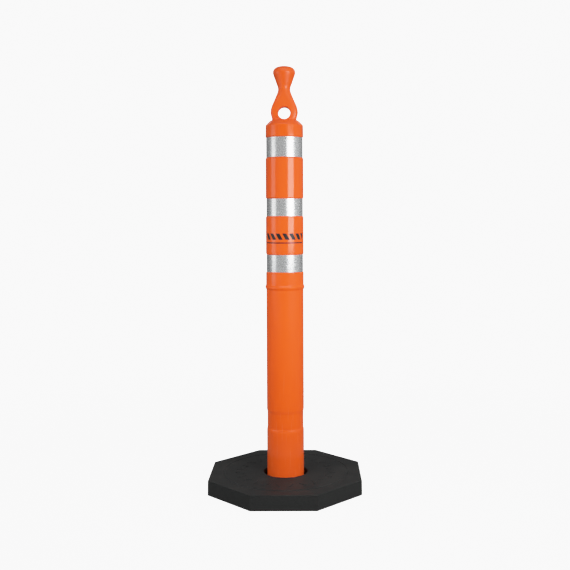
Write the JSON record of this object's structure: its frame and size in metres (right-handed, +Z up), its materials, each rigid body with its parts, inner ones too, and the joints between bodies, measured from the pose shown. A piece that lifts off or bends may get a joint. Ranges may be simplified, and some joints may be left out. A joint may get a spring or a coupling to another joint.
{
  "type": "delineator post",
  "caption": "Hollow orange tube delineator with a moulded grab handle, reflective bands and a heavy octagonal rubber base that drops over the top.",
  "frame": {"origin": "on the ground, under the middle of the post and of the base", "axes": "+Z up along the post; the handle is widest along X and its hole runs along Y, square to two of the base's flat sides"},
  "size_m": [0.412, 0.412, 1.15],
  "materials": {
    "orange_plastic": "blow-moulded low-density polyethylene, satin gloss",
    "reflective_sheeting": "silver-white retroreflective sheeting with a fine cell pattern under a clear face",
    "black_rubber": "moulded recycled rubber, dull satin"
  },
  "bodies": {
    "post": {"post_tube": "orange_plastic", "reflective_band_upper": "reflective_sheeting", "reflective_band_middle": "reflective_sheeting", "reflective_band_lower": "reflective_sheeting"},
    "base": {"rubber_base": "black_rubber"}
  },
  "joints": [
    {"name": "base_lift", "type": "slide", "parent": "post", "child": "base", "axis": [0, 0, 1], "range_m": [0, 1.16]}
  ]
}
